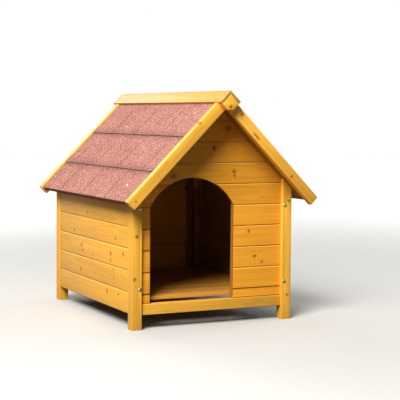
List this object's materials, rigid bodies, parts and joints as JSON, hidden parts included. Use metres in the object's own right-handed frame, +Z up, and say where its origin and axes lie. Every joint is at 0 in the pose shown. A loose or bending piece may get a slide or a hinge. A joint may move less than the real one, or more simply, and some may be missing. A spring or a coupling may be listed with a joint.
{
  "type": "dog house",
  "caption": "Small gabled wooden dog house with an off-centre arched doorway, raised on corner posts, with a felted roof and a floor that lift out.",
  "frame": {"origin": "on the ground, under the middle of the ridge line", "axes": "+Z up, +Y from the doorway towards the back wall along the ridge, +X to the right seen from the front"},
  "size_m": [0.588, 0.772, 0.6573],
  "materials": {
    "stained_pine": "honey-orange stain, satin",
    "inner_pine": "stained, matte",
    "roof_felt": "bitumen felt with pinkish-red mineral granules",
    "zinc_bolts": "zinc plated"
  },
  "bodies": {
    "walls": {"post_front_left": "stained_pine", "post_front_right": "stained_pine", "post_rear_left": "stained_pine", "post_rear_right": "stained_pine", "front_rail": "stained_pine", "rear_rail": "stained_pine", "door_boards_left": "stained_pine", "door_boards_right": "stained_pine", "arch_board_left": "stained_pine", "arch_board_right": "stained_pine", "front_gable_board_1": "stained_pine", "front_gable_board_2": "stained_pine", "front_gable_board_3": "stained_pine", "front_gable_board_4": "stained_pine", "rear_wall_board_1": "stained_pine", "rear_wall_board_2": "stained_pine", "rear_wall_board_3": "stained_pine", "rear_wall_board_4": "stained_pine", "rear_wall_board_5": "stained_pine", "rear_wall_board_6": "stained_pine", "rear_wall_board_7": "stained_pine", "rear_wall_board_8": "stained_pine", "rear_wall_board_9": "stained_pine", "rear_wall_board_10": "stained_pine", "left_wall_board_1": "stained_pine", "left_wall_board_2": "stained_pine", "left_wall_board_3": "stained_pine", "left_wall_board_4": "stained_pine", "left_wall_board_5": "stained_pine", "left_wall_board_6": "stained_pine", "right_wall_board_1": "stained_pine", "right_wall_board_2": "stained_pine", "right_wall_board_3": "stained_pine", "right_wall_board_4": "stained_pine", "right_wall_board_5": "stained_pine", "right_wall_board_6": "stained_pine", "side_wall_battens": "inner_pine", "front_wall_stiles": "inner_pine", "rear_wall_stiles": "inner_pine", "floor_bearers": "inner_pine", "frame_bolts": "zinc_bolts"},
    "floor": {"floor_boards": "inner_pine", "floor_ledges": "inner_pine"},
    "roof": {"roof_boards_left": "inner_pine", "roof_boards_right": "inner_pine", "felt_eave_left": "roof_felt", "felt_eave_right": "roof_felt", "felt_middle_left": "roof_felt", "felt_middle_right": "roof_felt", "felt_top_left": "roof_felt", "felt_top_right": "roof_felt", "bargeboard_front_left": "stained_pine", "bargeboard_front_right": "stained_pine", "bargeboard_rear_left": "stained_pine", "bargeboard_rear_right": "stained_pine", "ridge_board_left": "stained_pine", "ridge_board_right": "stained_pine", "ridge_block_front": "stained_pine", "ridge_block_rear": "stained_pine", "roof_rafters": "inner_pine"}
  },
  "joints": [
    {"name": "roof_lift", "type": "slide", "parent": "walls", "child": "roof", "axis": [0, 0, 1], "range_m": [0, 0.3]},
    {"name": "floor_lift", "type": "slide", "parent": "walls", "child": "floor", "axis": [0, 0, 1], "range_m": [0, 0.25]}
  ]
}
